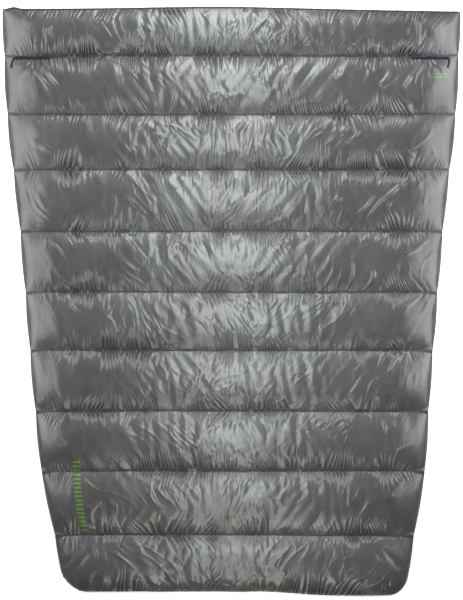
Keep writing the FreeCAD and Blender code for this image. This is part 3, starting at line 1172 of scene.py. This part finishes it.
def makeSnap(side, name, place):
    # a turned press stud: the left one is a socket, the right one has a stud
    size = strap["snap"]
    if side < 0:
        profile = [(0, 0), (1, 0), (1, 0.30), (0.86, 0.52), (0.55, 0.56), (0.42, 0.50),
                   (0.40, 0.15), (0, 0.13)]
    else:
        profile = [(0, 0), (1, 0), (1, 0.16), (0.90, 0.26), (0.48, 0.28), (0.34, 0.36),
                   (0.36, 0.62), (0.24, 0.72), (0, 0.74)]
    turns = 28
    rings = np.array([[(r * math.cos(a), r * math.sin(a), h) for r, h in profile[1:-1]]
                      for a in np.arange(turns) * 2 * math.pi / turns])
    ends = [(0, 0, profile[0][1]), (0, 0, profile[-1][1])]
    origin = np.asarray(place) + np.array([0, 0, strap["thick"]])
    points = np.concatenate([rings.reshape(-1, 3), ends]) * size + origin
    index = np.arange(turns * (len(profile) - 2)).reshape(turns, -1)
    faces = []
    for k in range(turns):
        here, after = index[k], index[(k + 1) % turns]
        for j in range(len(here) - 1):
            faces.append([here[j], after[j], after[j + 1], here[j + 1]])
        faces.append([len(points) - 2, after[0], here[0]])
        faces.append([len(points) - 1, here[-1], after[-1]])
    node = "strap_socket" if side < 0 else "strap_stud"
    made = facedMesh(f"snap_{name}", [(points, faces)], snapPlastic)
    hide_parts(node)
    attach(made, f"strap_{name}")


underStraps = BVHTree.FromObject(casings[1], bpy.context.evaluated_depsgraph_get())
for side, name in ((-1, "left"), (1, "right")):
    makeStrap(side, name, underStraps)
print("straps made")


# Floor, light and camera

def makeFloor():
    index = np.array([[0, 1], [2, 3]])
    span = 9.0
    corners = [(-span, span, 0), (span, span, 0), (-span, -span, 0), (span, -span, 0)]
    floor = meshObject("floor", corners, gridFaces(index), [floorFinish()])
    floor.location.z = -0.0006


def softbox(name, place, aim, size, power, colour=(1, 1, 1), spread=180):
    light = bpy.data.lights.new(name, "AREA")
    light.shape = "RECTANGLE"
    light.size, light.size_y = size
    light.energy = power
    light.color = colour
    light.spread = math.radians(spread)
    lamp = bpy.data.objects.new(name, light)
    lamp.location = place
    lamp.rotation_euler = (Vector(aim) - Vector(place)).to_track_quat("-Z", "Y").to_euler()
    lamp.visible_camera = False
    scene.collection.objects.link(lamp)


# a row of strips above the middle, tipped towards the foot
row = {"from": 1.62, "to": -0.92, "height": 0.85, "tip": 0.22, "size": (0.20, 0.62),
       "power": (2.1, 2.7, 2.95, 2.5, 1.5), "spread": 122, "colour": (0.95, 1.0, 0.985)}
lights = {
    "headStrip": {"place": (0.0, 1.9, 0.80), "aim": (0, 0.2, 0), "size": (0.24, 1.4), "power": 17,
                  "colour": (0.97, 0.99, 1.0)},
    "leftWall": {"place": (-1.35, 0.50, 0.85), "aim": (-0.7, 0.50, 0), "size": (2.3, 0.75),
                 "power": 29},
    "rightWall": {"place": (1.35, 0.52, 0.85), "aim": (0.7, 0.52, 0), "size": (2.2, 0.75),
                  "power": 34},
    "head": {"place": (0.0, 2.8, 1.4), "aim": (0, 0.3, 0), "size": (2.2, 0.8), "power": 14,
             "colour": (0.96, 0.98, 1.0)},
    "foot": {"place": (0.0, -1.9, 1.5), "aim": (0, -0.3, 0), "size": (0.5, 0.9), "power": 12,
             "colour": (1.0, 0.92, 0.85)},
}
around = {"colour": (0.98, 0.97, 0.96), "strength": 0.22}


def lightRoom():
    for name, light in lights.items():
        softbox(name, **light)
    places = np.linspace(row["from"], row["to"], len(row["power"]))
    for number, (y, power) in enumerate(zip(places, row["power"])):
        softbox(f"strip{number}", (0, y, row["height"]), (0, y - row["tip"], 0), row["size"],
                power, row["colour"], row["spread"])
    world = bpy.data.worlds.new("room")
    world.use_nodes = True
    background = world.node_tree.nodes["Background"]
    background.inputs["Color"].default_value = (*around["colour"], 1)
    background.inputs["Strength"].default_value = around["strength"]
    scene.world = world
    scene.view_settings.view_transform = "Standard"
    scene.view_settings.look = "None"
    scene.view_settings.exposure = 0.0


camera = {"height": 7.5, "viewHeight": 1.980, "centre": (0.0, 0.0), "sensor": 36}


def placeCamera():
    data = bpy.data.cameras.new("camera")
    data.sensor_width = camera["sensor"]
    data.lens = camera["sensor"] * (camera["height"] - crownZ) / camera["viewHeight"]
    made = bpy.data.objects.new("camera", data)
    made.location = (*camera["centre"], camera["height"])
    scene.collection.objects.link(made)
    scene.camera = made


makeFloor()
lightRoom()
placeCamera()
print("room lit")
